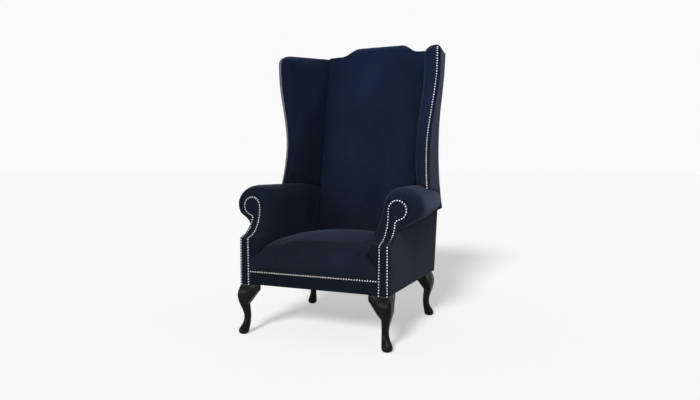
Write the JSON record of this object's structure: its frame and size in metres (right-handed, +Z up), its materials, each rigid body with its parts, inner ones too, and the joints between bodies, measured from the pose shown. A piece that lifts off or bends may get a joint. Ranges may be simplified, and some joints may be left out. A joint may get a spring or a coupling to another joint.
{
  "type": "high-back wing armchair",
  "caption": "High-back upholstered wing armchair with scroll arms, a serpentine crest, a sprung seat, nail-trimmed edges and dark cabriole legs.",
  "frame": {"origin": "on the floor under the middle of the overall box", "axes": "+X to the sitter's left, +Y to the rear (the chair faces -Y), +Z up"},
  "size_m": [0.8842, 0.8775, 1.3683],
  "materials": {
    "velvet": "navy pile velvet",
    "nickel": "nickel-plated nail heads",
    "dark_wood": "polished near-black",
    "beech": "sawn, unfinished",
    "steel": "plain drawn",
    "webbing": "woven elastic",
    "canvas": "plain weave",
    "dust_cloth": "spun-bonded black",
    "glide": "moulded"
  },
  "bodies": {
    "root": {"back_lower_rail": "beech", "back_webbing": "webbing", "border_studs": "nickel", "corner_blocks": "beech", "crest_rail": "beech", "dust_cover": "dust_cloth", "foot_glides": "glide", "frame_dowels": "beech", "front_border": "velvet", "front_left_knee_brackets": "dark_wood", "front_left_leg": "dark_wood", "front_right_knee_brackets": "dark_wood", "front_right_leg": "dark_wood", "front_seat_rail": "beech", "inside_back": "velvet", "left_arm_board": "beech", "left_arm_facing": "velvet", "left_arm_pad": "velvet", "left_arm_stump": "beech", "left_arm_tack_rail": "beech", "left_back_post": "beech", "left_facing_studs": "nickel", "left_outside_arm": "velvet", "left_outside_wing": "velvet", "left_side_rail": "beech", "left_wing_board": "beech", "left_wing_pad": "velvet", "left_wing_studs": "nickel", "left_wing_top_rail": "beech", "leg_bolts": "steel", "outside_back": "velvet", "rear_left_knee_brackets": "dark_wood", "rear_left_leg": "dark_wood", "rear_right_knee_brackets": "dark_wood", "rear_right_leg": "dark_wood", "rear_seat_rail": "beech", "right_arm_board": "beech", "right_arm_facing": "velvet", "right_arm_pad": "velvet", "right_arm_stump": "beech", "right_arm_tack_rail": "beech", "right_back_post": "beech", "right_facing_studs": "nickel", "right_outside_arm": "velvet", "right_outside_wing": "velvet", "right_side_rail": "beech", "right_wing_board": "beech", "right_wing_pad": "velvet", "right_wing_studs": "nickel", "right_wing_top_rail": "beech", "seat_canvas": "canvas", "seat_pad": "velvet", "seat_springs": "steel", "spring_clips": "steel"}
  },
  "joints": []
}
